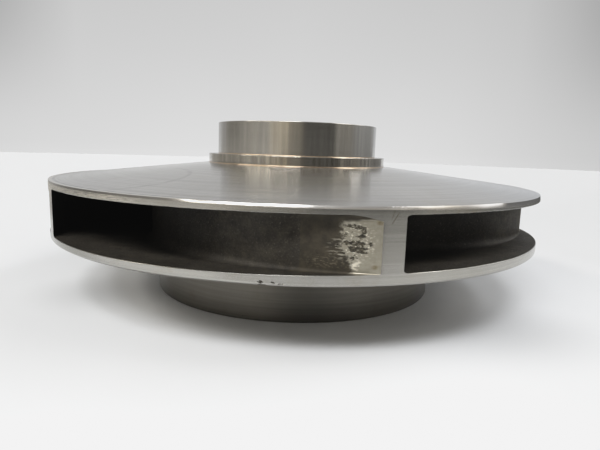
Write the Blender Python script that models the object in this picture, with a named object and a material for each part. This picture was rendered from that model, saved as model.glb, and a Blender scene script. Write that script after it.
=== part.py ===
"""Closed centrifugal pump impeller, lying on its suction eye ring with the hub sleeve up.

World axes: +Z runs up the shaft axis, from the suction eye to the hub sleeve, and -Y is the front.
The origin is on the shaft axis, in the plane that the eye ring stands on. Lengths below are in
millimetres, and MM turns them into metres where a mesh is made. Angles round the shaft axis are
in degrees from the front, -Y, and grow towards +X.
"""

import math

import bmesh
import bpy

MM = 0.001

# Turned outside of the two shrouds
RIM_RADIUS = 165.0
TOP_RIM_LOW = 72.3
TOP_RIM_HIGH = 74.9
TOP_RIM_CHAMFER = 1.3
BOTTOM_RIM_LOW = 41.6
BOTTOM_RIM_HIGH = 46.2
UNDERSIDE_KNEE_RADIUS = 124.0
UNDERSIDE_KNEE_HIGH = 37.8
NECK_FILLET = 8.0

# Hub, with a sleeve above and a tapered nose in the suction eye
BORE_RADIUS = 25.0
HUB_RADIUS = 57.4
HUB_TOP = 115.2
NOSE_LOW = 18.0
NOSE_FACE_RADIUS = 34.0
EDGE_CHAMFER = 1.0

# Low collar round the foot of the sleeve
COLLAR_RADIUS = 63.9
COLLAR_LOW = 88.9
COLLAR_HIGH = 93.6
CORNER_FILLET = 1.5

# Parallel keyway along the whole bore, in the standard size for a 50 mm shaft
KEYWAY_WIDTH = 14.0
KEYWAY_DEPTH = 3.8

# Suction eye ring
EYE_RADIUS = 87.0
EYE_RING_RADIUS = 99.1
EYE_RING_HIGH = 28.0

# Water passage: each wall is a quarter ellipse that bends out of the eye, and then runs straight
CEILING_BEND_INNER = 36.0
CEILING_BEND_OUTER = 112.0
CEILING_BEND_LOW = 20.0
FLOOR_BEND_OUTER = 120.0
FLOOR_BEND_LOW = 18.0
FLOOR_BEND_HIGH = 44.0

# Vanes, swept backwards from the eye to the rim
VANE_COUNT = 5
VANE_THICKNESS = 6.5
TIP_THICKNESS = 3.7
TIP_TAPER_START = 149.0
TIP_ANGLE = 13.2
VANE_ANGLE_AT_RIM = 19.0
VANE_ANGLE_AT_EYE = 25.0
LEADING_RADIUS_HIGH = 66.0
LEADING_RADIUS_LOW = 92.0
LEADING_BLUNTNESS = 0.6
VANE_STATIONS = 32

# Gap at the faces where the real casting runs through from one of these pieces to the next
SEAM = 0.3

DISC_STEPS = 96
HUB_STEPS = 72
BEND_STEPS = 7
FILLET_STEPS = 3

TURNED_STEEL = ("turned_steel", (0.42, 0.41, 0.39), 0.32)
CAST_STEEL = ("cast_steel", (0.17, 0.16, 0.14), 0.72)


def clear_scene():
    """Remove whatever the file opened with."""
    for found in list(bpy.data.objects):
        bpy.data.objects.remove(found, do_unlink=True)


def steel(name, colour, roughness):
    """A metal with one Principled shader, made at its first use and then shared."""
    found = bpy.data.materials.get(name)
    if found:
        return found
    material = bpy.data.materials.new(name)
    material.use_nodes = True
    shader = material.node_tree.nodes["Principled BSDF"]
    shader.inputs["Base Color"].default_value = (*colour, 1.0)
    shader.inputs["Roughness"].default_value = roughness
    shader.inputs["Metallic"].default_value = 1.0
    return material


def arc(centre, radii, start, end, steps):
    """Points (r, z) along an ellipse, from one angle to another in degrees, both ends included."""
    points = []
    for step in range(steps + 1):
        angle = math.radians(start + (end - start) * step / steps)
        points.append((centre[0] + radii[0] * math.cos(angle), centre[1] + radii[1] * math.sin(angle)))
    return points


def ceiling_height(radius):
    """Height of the passage's upper wall, under the back shroud and the hub, at a radius."""
    if radius >= CEILING_BEND_OUTER:
        return TOP_RIM_LOW
    share = (CEILING_BEND_OUTER - radius) / (CEILING_BEND_OUTER - CEILING_BEND_INNER)
    return CEILING_BEND_LOW + (TOP_RIM_LOW - CEILING_BEND_LOW) * math.sqrt(1.0 - share * share)


def floor_height(radius):
    """Height of the passage's lower wall, on the front shroud and the eye ring, at a radius."""
    if radius >= FLOOR_BEND_OUTER:
        share = (radius - FLOOR_BEND_OUTER) / (RIM_RADIUS - FLOOR_BEND_OUTER)
        return FLOOR_BEND_HIGH + (BOTTOM_RIM_HIGH - FLOOR_BEND_HIGH) * share
    share = min(1.0, (FLOOR_BEND_OUTER - radius) / (FLOOR_BEND_OUTER - EYE_RADIUS))
    return FLOOR_BEND_LOW + (FLOOR_BEND_HIGH - FLOOR_BEND_LOW) * math.sqrt(1.0 - share * share)


def ceiling_bend(inner, outer, steps):
    """Points (r, z) on the upper wall's bend, between two radii."""
    span = CEILING_BEND_OUTER - CEILING_BEND_INNER
    ends = [180.0 - math.degrees(math.acos((CEILING_BEND_OUTER - end) / span)) for end in (inner, outer)]
    radii = (span, TOP_RIM_LOW - CEILING_BEND_LOW)
    return arc((CEILING_BEND_OUTER, CEILING_BEND_LOW), radii, *ends, steps)


def floor_bend(low, high, steps):
    """Points (r, z) on the lower wall's bend, between two heights."""
    rise = FLOOR_BEND_HIGH - FLOOR_BEND_LOW
    ends = [180.0 - math.degrees(math.asin((end - FLOOR_BEND_LOW) / rise)) for end in (low, high)]
    radii = (FLOOR_BEND_OUTER - EYE_RADIUS, rise)
    return arc((FLOOR_BEND_OUTER, FLOOR_BEND_LOW), radii, *ends, steps)


def add_object(name, bm, material, sharp_angle=30.0):
    """Turn a bmesh into a named, linked object that is shaded smooth between its sharp edges."""
    bmesh.ops.recalc_face_normals(bm, faces=bm.faces)
    mesh = bpy.data.meshes.new(name)
    bm.to_mesh(mesh)
    bm.free()
    mesh.materials.append(material)
    mesh.shade_smooth()
    mesh.set_sharp_from_angle(angle=math.radians(sharp_angle))
    made = bpy.data.objects.new(name, mesh)
    bpy.context.scene.collection.objects.link(made)
    return made


def turned(name, profile, steps):
    """Spin a closed outline of (r, z) points once round the shaft axis."""
    bm = bmesh.new()
    outline = [bm.verts.new((radius * MM, 0.0, height * MM)) for radius, height in profile]
    edges = [bm.edges.new((outline[i - 1], outline[i])) for i in range(len(outline))]
    bmesh.ops.spin(
        bm,
        geom=outline + edges,
        cent=(0.0, 0.0, 0.0),
        axis=(0.0, 0.0, 1.0),
        angle=math.tau,
        steps=steps,
        use_merge=True,
    )
    return add_object(name, bm, steel(*TURNED_STEEL))


def keyway_cutter():
    """A bar that cuts the keyway out of the back of the bore, from end to end."""
    reach = BORE_RADIUS + KEYWAY_DEPTH
    length = 1.2 * (HUB_TOP - NOSE_LOW)
    middle = 0.5 * (HUB_TOP + NOSE_LOW)
    bm = bmesh.new()
    bmesh.ops.create_cube(bm, size=1.0)
    bmesh.ops.scale(bm, vec=(KEYWAY_WIDTH * MM, reach * MM, length * MM), verts=bm.verts)
    bmesh.ops.translate(bm, vec=(0.0, 0.5 * reach * MM, middle * MM), verts=bm.verts)
    cutter = add_object("keyway_cutter", bm, steel(*TURNED_STEEL))
    cutter.hide_render = True
    cutter.display_type = "WIRE"
    return cutter


def bored(name, profile, cutter):
    """A turned solid with the keyway cut along its bore."""
    made = turned(name, profile, HUB_STEPS)
    cut = made.modifiers.new("keyway", "BOOLEAN")
    cut.operation = "DIFFERENCE"
    cut.object = cutter


def hub(cutter):
    """The thick boss inside the shrouds, from its nose in the eye to the foot of the sleeve."""
    profile = [
        (BORE_RADIUS, NOSE_LOW + EDGE_CHAMFER),
        (BORE_RADIUS + EDGE_CHAMFER, NOSE_LOW),
        (NOSE_FACE_RADIUS, NOSE_LOW),
    ]
    profile += ceiling_bend(CEILING_BEND_INNER, HUB_RADIUS, BEND_STEPS)
    profile += [(HUB_RADIUS, COLLAR_LOW), (BORE_RADIUS, COLLAR_LOW)]
    bored("hub", profile, cutter)


def hub_sleeve(cutter):
    """The part of the hub that stands up above the back shroud."""
    profile = [
        (BORE_RADIUS, COLLAR_LOW + SEAM),
        (HUB_RADIUS, COLLAR_LOW + SEAM),
        (HUB_RADIUS, HUB_TOP - EDGE_CHAMFER),
        (HUB_RADIUS - EDGE_CHAMFER, HUB_TOP),
        (BORE_RADIUS + EDGE_CHAMFER, HUB_TOP),
        (BORE_RADIUS, HUB_TOP - EDGE_CHAMFER),
    ]
    bored("hub_sleeve", profile, cutter)


def hub_collar():
    """The low step round the foot of the sleeve, with a fillet up to the sleeve."""
    inner = HUB_RADIUS + SEAM
    fillet_centre = (inner + CORNER_FILLET, COLLAR_HIGH + CORNER_FILLET)
    profile = [
        (inner, COLLAR_LOW + SEAM),
        (COLLAR_RADIUS, COLLAR_LOW + SEAM),
        (COLLAR_RADIUS, COLLAR_HIGH),
    ]
    profile += arc(fillet_centre, (CORNER_FILLET, CORNER_FILLET), 270.0, 180.0, FILLET_STEPS)
    turned("hub_collar", profile, HUB_STEPS)


def back_shroud():
    """The upper disc: a turned cone above, and the passage's cast ceiling below."""
    inner = HUB_RADIUS + SEAM
    fillet_centre = (COLLAR_RADIUS + CORNER_FILLET, COLLAR_LOW)
    profile = ceiling_bend(inner, CEILING_BEND_OUTER, BEND_STEPS)
    profile += [
        (RIM_RADIUS, TOP_RIM_LOW),
        (RIM_RADIUS, TOP_RIM_HIGH),
        (RIM_RADIUS - TOP_RIM_CHAMFER, TOP_RIM_HIGH + TOP_RIM_CHAMFER),
    ]
    profile += arc(fillet_centre, (CORNER_FILLET, CORNER_FILLET), 270.0, 180.0, FILLET_STEPS)
    profile += [(inner, COLLAR_LOW)]
    turned("back_shroud", profile, DISC_STEPS)


def front_shroud():
    """The lower disc, whose inner edge bends down into the neck of the suction eye."""
    neck_low = EYE_RING_HIGH + SEAM
    slope = (BOTTOM_RIM_LOW - UNDERSIDE_KNEE_HIGH) / (RIM_RADIUS - UNDERSIDE_KNEE_RADIUS)
    fillet_end = EYE_RING_RADIUS + NECK_FILLET
    fillet_high = UNDERSIDE_KNEE_HIGH - slope * (UNDERSIDE_KNEE_RADIUS - fillet_end)
    profile = floor_bend(neck_low, FLOOR_BEND_HIGH, BEND_STEPS)
    profile += [(RIM_RADIUS, BOTTOM_RIM_HIGH), (RIM_RADIUS, BOTTOM_RIM_LOW)]
    profile += arc((fillet_end, neck_low), (NECK_FILLET, fillet_high - neck_low), 90.0, 180.0, FILLET_STEPS)
    turned("front_shroud", profile, DISC_STEPS)


def eye_ring():
    """The cylindrical ring round the suction eye, which the impeller rests on."""
    profile = [
        (EYE_RADIUS, EDGE_CHAMFER),
        (EYE_RADIUS + EDGE_CHAMFER, 0.0),
        (EYE_RING_RADIUS - EDGE_CHAMFER, 0.0),
        (EYE_RING_RADIUS, EDGE_CHAMFER),
        (EYE_RING_RADIUS, EYE_RING_HIGH),
    ]
    profile += floor_bend(EYE_RING_HIGH, FLOOR_BEND_LOW, FILLET_STEPS)
    turned("eye_ring", profile, DISC_STEPS)


def vane_angle(radius):
    """Angle between the vane and the circle at a radius, in radians."""
    share = (radius - LEADING_RADIUS_HIGH) / (RIM_RADIUS - LEADING_RADIUS_HIGH)
    return math.radians(VANE_ANGLE_AT_EYE + (VANE_ANGLE_AT_RIM - VANE_ANGLE_AT_EYE) * share)


def vane_thickness(radius):
    """Thickness of the vane, with a rounded leading edge and a thin tip ground on one side."""
    run = min(1.0, (radius - LEADING_RADIUS_HIGH + LEADING_BLUNTNESS) / VANE_THICKNESS)
    taper = max(0.0, (radius - TIP_TAPER_START) / (RIM_RADIUS - TIP_TAPER_START))
    return math.sqrt(run * (2.0 - run)) * (VANE_THICKNESS + (TIP_THICKNESS - VANE_THICKNESS) * taper)


def vane_bottom(radius):
    """Height of the vane's lower edge: a slanting leading edge, and then the front shroud."""
    if radius >= LEADING_RADIUS_LOW:
        return floor_height(radius) + SEAM
    low = floor_height(LEADING_RADIUS_LOW) + SEAM
    high = ceiling_height(LEADING_RADIUS_HIGH) - VANE_THICKNESS
    share = (LEADING_RADIUS_LOW - radius) / (LEADING_RADIUS_LOW - LEADING_RADIUS_HIGH)
    return low + (high - low) * share


def vane_plan():
    """Rows of (radius, pressure side angle, suction side angle), in radians, from the rim inwards."""
    rows = []
    suction = math.radians(TIP_ANGLE) + TIP_THICKNESS / (RIM_RADIUS * math.sin(vane_angle(RIM_RADIUS)))
    step = (RIM_RADIUS - LEADING_RADIUS_HIGH) / VANE_STATIONS
    for station in range(VANE_STATIONS + 1):
        radius = RIM_RADIUS - station * step
        width = vane_thickness(radius) / (radius * math.sin(vane_angle(radius)))
        rows.append((radius, suction - width, suction))
        middle = radius - 0.5 * step
        suction -= step / (middle * math.tan(vane_angle(middle)))
    return rows


def vane(number):
    """One backward-swept vane: its plan, pulled up from the front shroud to the back shroud."""
    turn = math.tau * (number - 1) / VANE_COUNT
    bm = bmesh.new()
    pairs = []
    for radius, *sides in vane_plan():
        reach = radius * MM
        ends = [(reach * math.sin(side + turn), -reach * math.cos(side + turn), 0.0) for side in sides]
        pairs.append([bm.verts.new(end) for end in ends])
    plan = [bm.faces.new((*outer, *reversed(inner))) for outer, inner in zip(pairs, pairs[1:])]
    bottom = set(bm.verts)
    bmesh.ops.extrude_face_region(bm, geom=plan, use_keep_orig=True)
    for vert in bm.verts:
        radius = math.hypot(vert.co.x, vert.co.y) / MM
        height = vane_bottom(radius) if vert in bottom else ceiling_height(radius) - SEAM
        vert.co.z = height * MM
    add_object(f"vane_{number}", bm, steel(*CAST_STEEL))


def main():
    clear_scene()
    cutter = keyway_cutter()
    hub(cutter)
    hub_sleeve(cutter)
    hub_collar()
    back_shroud()
    front_shroud()
    eye_ring()
    for number in range(1, VANE_COUNT + 1):
        vane(number)


main()
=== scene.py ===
"""Closed pump impeller of turned and cast stainless steel, standing on its suction eye ring.

The frame is the CAD part's: metres, +Z up the shaft axis, -Y towards the viewer. Lengths named below
are in millimetres, and angles round the shaft axis start at -Y and grow towards +X.
"""

import math
from collections import namedtuple

import bpy
from mathutils import Matrix, Vector, noise

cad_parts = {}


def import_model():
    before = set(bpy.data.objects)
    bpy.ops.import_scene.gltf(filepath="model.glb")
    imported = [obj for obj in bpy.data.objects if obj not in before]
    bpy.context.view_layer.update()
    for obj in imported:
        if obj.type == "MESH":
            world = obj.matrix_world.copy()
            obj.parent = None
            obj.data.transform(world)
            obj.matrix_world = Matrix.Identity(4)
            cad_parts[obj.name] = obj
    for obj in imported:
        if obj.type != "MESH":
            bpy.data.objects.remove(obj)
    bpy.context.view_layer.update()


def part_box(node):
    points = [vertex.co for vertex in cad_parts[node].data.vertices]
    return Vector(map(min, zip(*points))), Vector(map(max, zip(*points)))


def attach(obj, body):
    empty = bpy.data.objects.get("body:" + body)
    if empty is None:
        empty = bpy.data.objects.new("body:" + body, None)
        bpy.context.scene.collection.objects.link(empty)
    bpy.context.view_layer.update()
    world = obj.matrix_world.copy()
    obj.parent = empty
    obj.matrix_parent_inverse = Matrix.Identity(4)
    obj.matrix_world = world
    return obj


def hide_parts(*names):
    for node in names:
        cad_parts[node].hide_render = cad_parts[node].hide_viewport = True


MM = 0.001

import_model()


def top(node):
    """Highest point of a CAD node, in millimetres."""
    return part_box(node)[1].z / MM


def low(node):
    """Lowest point of a CAD node, in millimetres."""
    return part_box(node)[0].z / MM


def outer(node):
    """Outer radius of a turned CAD node, in millimetres."""
    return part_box(node)[1].x / MM


# Sizes that the CAD part gives
RIM_RADIUS = outer("back_shroud")
SLEEVE_RADIUS = outer("hub_sleeve")
SLEEVE_TOP = top("hub_sleeve")
COLLAR_RADIUS = outer("hub_collar")
EYE_RING_RADIUS = outer("eye_ring")
EYE_RING_HIGH = top("eye_ring")
NOSE_LOW = low("hub")
SLEEVE_LOW = top("hub")
BOTTOM_RIM_HIGH = top("front_shroud")

# Places in a piece's list of materials. THIRD is the cone, underside, collar's fillet or vane's ground end
FACE, CAST, THIRD, BEVEL, SHOULDER, FILLET = range(6)

# Turned faces
COLLAR_HIGH = 93.6
COLLAR_EDGE = 0.25
TOP_RIM_LOW = 72.15
BOTTOM_RIM_LOW = 40.8
# The upper rim's bevel: its foot and its head, whose heights differ round the rim, and how far it reaches in
BEVEL_FOOT = 73.6
BEVEL_FOOT_LEAST = 72.9
BEVEL_FOOT_SWING = 1.0
BEVEL_FOOT_LEAN = 1.0
BEVEL_HEAD = 75.8
BEVEL_HEAD_LEAN = 0.33
BEVEL_SLOPE = 0.66
BEVEL_SLOPE_WORN = 0.14
# The bevel is worn away outside this stretch: angle of its two ends, in degrees, and how fast it fades
BEVEL_STRETCH = (-17.3, 38.5)
BEVEL_FADE = (5.0, 1.0)
CONE_TOP = 87.3
# Where the cone begins: how far in from the rim, and how far above the bevel's head
CONE_START = (4.0, 0.4)
CORNER_FILLET = 0.55
SLEEVE_EDGE = 0.35
BORE_RADIUS = 25.0
BORE_CHAMFER = 1.0
KEYWAY_WIDTH = 14.0
KEYWAY_REACH = 28.8
# The block that cuts the keyway: its height and the height of its middle, in metres
KEYWAY_CUTTER = (0.3, 0.06)
NOSE_FACE_RADIUS = 34.0
EYE_RADIUS = 87.0
EYE_CHAMFER = 1.0
UNDERSIDE_KNEE_RADIUS = 124.0
UNDERSIDE_KNEE_HIGH = 37.8
NECK_FILLET = 8.0

# Cast water passage
CEILING_BEND_INNER = 36.0
CEILING_BEND_OUTER = 112.0
CEILING_BEND_LOW = 20.0
FLOOR_BEND_OUTER = 120.0
FLOOR_BEND_LOW = 18.0
FLOOR_BEND_HIGH = 44.0
FLOOR_WAVE = 0.6
FLOOR_SAG = 0.3
# Broken edges at the passages' mouths: size, least size, and each shroud's (seed, clear, fade)
RIM_EDGE_WEAR = 0.32
LEAST_WEAR = 0.02
BACK_WEAR = (1.0, 7.0, 4.0)
FRONT_WEAR = (2.0, 4.8, 1.5)
# Angles between which the lower rim's upper edge is nearly unbroken, and its share of the wear
CRISP_EDGE = (15.0, 80.0)
CRISP_LEVEL = 0.3
LOWER_ROUND = 1.1
# How much the lower edge of the lower rim rises to the left, and where and how fast it does
EDGE_RISE = 0.7
EDGE_RISE_ANGLE = -6.5
EDGE_RISE_RATE = 4.8
# Nicks in the lower rim: angle from, to, in degrees, height above its lower edge from, to, and depth
NICKS = [
    (-5.25, -4.45, 1.40, 1.70, 0.35), (-4.95, -4.65, 0.80, 1.95, 0.35), (-3.15, -2.70, 1.30, 1.75, 0.45),
    (-2.15, -1.35, 1.00, 1.25, 0.35), (-5.30, -4.00, 0.10, 0.45, 0.30), (-9.70, -9.40, 0.60, 0.90, 0.25),
]
NICK_ROWS = (2.2, 1.95, 1.7, 1.5, 1.3)
NICK_STEP = 0.12
NICK_WANDER = 0.12
# How many of the nicks, from the first, are close enough together to get extra angles
NICK_CLUSTER = 5
# A chip in the upper edge of the lower rim: angle from, to, in degrees, and extra size of the broken edge
RIM_CHIP = (-0.9, 0.0, 0.35)

# Vanes
VANE_COUNT = 5
VANE_THICKNESS = 6.5
TIP_THICKNESS = 3.55
TIP_TAPER_START = 149.0
TIP_ANGLE = 13.2
VANE_ANGLE_AT_RIM = 19.0
VANE_ANGLE_AT_EYE = 25.0
LEADING_RADIUS_HIGH = 66.0
LEADING_RADIUS_LOW = 92.0
LEADING_BLUNTNESS = 0.6
FILLET_PRESSURE_HIGH = 3.0
FILLET_PRESSURE_LOW = 0.45
FILLET_PRESSURE_DEEP = 5.0
FILLET_GROWTH = 26.0
FILLET_SUCTION = 1.3
CORNER_STEPS = 7
BODY_STEPS = 8
ACROSS_STEPS = 6
DRESSED_LENGTH = 9.0
SINK = 0.1
# The ground end of each vane. A run is a length along the vane from its tip
GROUND_ZONE = 11.0
RUN_PER_RADIUS = 3.07
GROUND_REACH = 14.5
GROUND_TOP = (68.0, 69.7)
GROUND_CORNER_HIGH = 58.0
GROUND_CORNER_SLOPE = 0.40
# Streaks of bare metal and a tan patch of scale beyond it, and the cluster of pits: (run, height) and size
STREAKS = ((14.5, 57.0), (5.5, 5.0))
TAN_PATCH = ((19.0, 50.8), (10.0, 3.2))
PIT_CENTRE = (9.0, 60.0)
PIT_SPREAD = (6.8, 9.0)
PIT_SHARE_OUTSIDE = 0.20
PIT_SHARE_NEAR = 0.20
PIT_SHARE_ROW = 0.21
# Rows of pits in it: (run, height) at each end, and width
PIT_ROWS = [
    ((14.2, 67.6), (5.6, 65.6), 2.2), ((8.8, 61.8), (5.2, 64.8), 2.0), ((15.2, 59.6), (6.5, 59.2), 1.8),
    ((13.0, 57.0), (4.8, 56.2), 2.3), ((11.9, 53.4), (8.3, 52.4), 1.8), ((4.4, 60.6), (3.7, 58.2), 1.3),
    ((15.5, 65.5), (13.0, 62.0), 1.8),
]
# Painted highlights at its lower corner, where the fillet catches the light, and brown stains: (run, height)
# and size
FILLET_HIGHLIGHT_STROKES = [
    ((11.3, 49.0), (7.6, 51.6), 1.0), ((11.0, 48.7), (8.4, 47.7), 0.7), ((10.6, 49.3), (7.9, 49.7), 0.6),
]
TIP_STAINS = [((1.2, 68.7), (1.3, 1.0)), ((2.3, 49.3), (1.2, 1.0))]
# Painted shade on the cast scale deep in the passages, and darker towards the rim: radius from, to, level at
# each
DEEP_PAINTED_SHADE = (134.0, 149.0, 0.30, 1.0)
RIM_DARKENING = (142.0, 154.0, 1.0, 0.76)
# Scratches on the first vane's tip: (length round the rim, height) at each end
TIP_SCRATCHES = [((41.8, 68.2), (44.9, 73.1), 0.32), ((41.7, 70.6), (42.9, 74.2), 0.24)]
# Painted highlights on dents in the bevel above them
BEVEL_DENT_HIGHLIGHTS = [((41.9, 75.5), (42.7, 75.5), 0.5), ((43.6, 75.6), (44.1, 75.6), 0.45)]

# How finely the meshes are cut
DISC_STEPS = 384
HUB_STEPS = 256
VANE_STATIONS = 80
BEND_STEPS = 24
CEILING_STEPS = 22
CONE_STEPS = 24
FILLET_STEPS = 6
UNDERSIDE_STEPS = 8


# Profiles


def clamp(value):
    return min(1.0, max(0.0, value))


def signed_degrees(angle):
    """An angle round the shaft axis, from -180 to 180 degrees."""
    return (math.degrees(angle) + 180.0) % 360.0 - 180.0


def arc(centre, radii, start, end, steps):
    """Points (r, z) along an ellipse, from one angle to another in degrees, both ends included."""
    points = []
    for step in range(steps + 1):
        angle = math.radians(start + (end - start) * step / steps)
        points.append((centre[0] + radii[0] * math.cos(angle), centre[1] + radii[1] * math.sin(angle)))
    return points


def line(start, end, steps):
    """Points (r, z) along a straight run, both ends included."""
    return [tuple(a + (b - a) * step / steps for a, b in zip(start, end)) for step in range(steps + 1)]


def ceiling_height(radius):
    """Height of the passage's upper wall at a radius."""
    if radius >= CEILING_BEND_OUTER:
        return TOP_RIM_LOW
    share = (CEILING_BEND_OUTER - radius) / (CEILING_BEND_OUTER - CEILING_BEND_INNER)
    return CEILING_BEND_LOW + (TOP_RIM_LOW - CEILING_BEND_LOW) * math.sqrt(max(0.0, 1.0 - share * share))


def floor_height(radius, angle):
    """Height of the passage's lower wall, which the casting core left a little out of level at the rim."""
    if radius >= FLOOR_BEND_OUTER:
        share = (radius - FLOOR_BEND_OUTER) / (RIM_RADIUS - FLOOR_BEND_OUTER)
        level = FLOOR_BEND_HIGH + (BOTTOM_RIM_HIGH - FLOOR_BEND_HIGH) * share
    else:
        share = min(1.0, (FLOOR_BEND_OUTER - radius) / (FLOOR_BEND_OUTER - EYE_RADIUS))
        level = FLOOR_BEND_LOW + (FLOOR_BEND_HIGH - FLOOR_BEND_LOW) * math.sqrt(1.0 - share * share)
    wave = FLOOR_WAVE * math.sin(2.0 * angle) - FLOOR_SAG
    return level + wave * clamp((radius - EYE_RADIUS) / 40.0)


def floor_radius(height):
    """Radius at which the passage's lower wall has a height, in its bend."""
    share = (height - FLOOR_BEND_LOW) / (FLOOR_BEND_HIGH - FLOOR_BEND_LOW)
    return FLOOR_BEND_OUTER - (FLOOR_BEND_OUTER - EYE_RADIUS) * math.sqrt(1.0 - share * share)


# Meshes


def place(radius, angle, height):
    return (radius * MM * math.sin(angle), -radius * MM * math.cos(angle), height * MM)


def linked(name, data):
    """A new object in the scene."""
    made = bpy.data.objects.new(name, data)
    bpy.context.scene.collection.objects.link(made)
    return made


def add_piece(name, verts, faces, zones, materials, sharp_angle=30.0):
    """A named mesh, shaded smooth between its sharp edges. zones gives each face its material's index."""
    mesh = bpy.data.meshes.new(name)
    mesh.from_pydata(verts, [], faces)
    for material in materials:
        mesh.materials.append(material)
    mesh.polygons.foreach_set("material_index", zones)
    mesh.shade_smooth()
    mesh.set_sharp_from_angle(angle=math.radians(sharp_angle))
    return linked(name, mesh)


def even(steps):
    return [math.tau * step / steps for step in range(steps)]


def turned(name, profile, angles, materials):
    """A solid of revolution. profile(angle) gives (r, z, zone) all round the section, against the clock."""
    sections = [profile(angle) for angle in angles]
    verts, faces, zones = [], [], []
    for angle, section in zip(angles, sections):
        verts += [place(radius, angle, height) for radius, height, _ in section]
    count = len(sections[0])
    for step, section in enumerate(sections):
        here, there = step * count, (step + 1) % len(sections) * count
        for i in range(count):
            after = (i + 1) % count
            faces.append((here + i, there + i, there + after, here + after))
            zones.append(section[i][2])
    return add_piece(name, verts, faces, zones, materials)


def zoned(points, zone):
    return [(radius, height, zone) for radius, height in points]


def cut_keyway(piece):
    """Cut the keyway through the back of the bore."""
    bpy.ops.mesh.primitive_cube_add(size=1.0)
    cutter = bpy.context.object
    reach = KEYWAY_REACH * MM
    cutter.scale = (KEYWAY_WIDTH * MM, reach, KEYWAY_CUTTER[0])
    cutter.location = (0.0, 0.5 * reach, KEYWAY_CUTTER[1])
    cutter.data.materials.append(piece.data.materials[0])
    cut = piece.modifiers.new("keyway", "BOOLEAN")
    cut.operation = "DIFFERENCE"
    cut.object = cutter
    bpy.context.view_layer.update()
    graph = bpy.context.evaluated_depsgraph_get()
    mesh = bpy.data.meshes.new_from_object(piece.evaluated_get(graph))
    piece.modifiers.clear()
    piece.data = mesh
    bpy.data.objects.remove(cutter, do_unlink=True)


# Turned pieces


def sleeve(materials):
    centre = (SLEEVE_RADIUS - SLEEVE_EDGE, SLEEVE_TOP - SLEEVE_EDGE)
    points = line((BORE_RADIUS, SLEEVE_LOW), (SLEEVE_RADIUS, SLEEVE_LOW), 2)
    points += line((SLEEVE_RADIUS, SLEEVE_LOW + 0.1), (SLEEVE_RADIUS, SLEEVE_TOP - SLEEVE_EDGE - 0.3), 8)
    points += arc(centre, (SLEEVE_EDGE, SLEEVE_EDGE), 0.0, 90.0, 4)
    flat = (SLEEVE_RADIUS - SLEEVE_EDGE - 0.3, BORE_RADIUS + BORE_CHAMFER + 0.2)
    points += line((flat[0], SLEEVE_TOP), (flat[1], SLEEVE_TOP), 6)
    points += [(BORE_RADIUS + BORE_CHAMFER, SLEEVE_TOP), (BORE_RADIUS, SLEEVE_TOP - BORE_CHAMFER)]
    made = turned("sleeve", lambda angle: zoned(points, FACE), even(HUB_STEPS), materials)
    cut_keyway(made)
    return made


def collar(materials):
    fillet_centre = (SLEEVE_RADIUS + CORNER_FILLET, COLLAR_HIGH + CORNER_FILLET)
    points = line((SLEEVE_RADIUS, SLEEVE_LOW), (COLLAR_RADIUS, SLEEVE_LOW), 2)
    points += line((COLLAR_RADIUS, SLEEVE_LOW + 0.1), (COLLAR_RADIUS, COLLAR_HIGH - 0.35), 3)
    edge_centre = (COLLAR_RADIUS - COLLAR_EDGE, COLLAR_HIGH - COLLAR_EDGE)
    points += arc(edge_centre, (COLLAR_EDGE, COLLAR_EDGE), 0.0, 90.0, 3)
    points += [(COLLAR_RADIUS - 0.5, COLLAR_HIGH), (SLEEVE_RADIUS + CORNER_FILLET + 0.3, COLLAR_HIGH)]
    fillet = arc(fillet_centre, (CORNER_FILLET, CORNER_FILLET), 270.0, 180.0, FILLET_STEPS)
    section = zoned(points, FACE) + zoned(fillet, THIRD)
    return turned("collar", lambda angle: section, even(HUB_STEPS), materials)


def hub_core(materials):
    bend = []
    for step in range(BEND_STEPS + 1):
        radius = CEILING_BEND_INNER + (SLEEVE_RADIUS - CEILING_BEND_INNER) * (step / BEND_STEPS) ** 2
        bend.append((radius, ceiling_height(radius)))
    points = [(BORE_RADIUS, NOSE_LOW + BORE_CHAMFER), (BORE_RADIUS + BORE_CHAMFER, NOSE_LOW)]
    points += line((BORE_RADIUS + BORE_CHAMFER + 0.2, NOSE_LOW), (NOSE_FACE_RADIUS, NOSE_LOW), 2)
    inner = zoned(points, FACE) + zoned(bend, CAST)
    inner += zoned([(SLEEVE_RADIUS, SLEEVE_LOW), (BORE_RADIUS, SLEEVE_LOW)], FACE)
    made = turned("hub_core", lambda angle: inner, even(HUB_STEPS), materials)
    cut_keyway(made)
    return made


def bevel_slope(angle):
    """How far the rim's upper bevel reaches in for its height, which differs round the rim."""
    degrees = signed_degrees(angle)
    inside = min((degrees - BEVEL_STRETCH[0]) / BEVEL_FADE[0], (BEVEL_STRETCH[1] - degrees) / BEVEL_FADE[1])
    return BEVEL_SLOPE_WORN + (BEVEL_SLOPE - BEVEL_SLOPE_WORN) * clamp(0.5 + inside)


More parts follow.
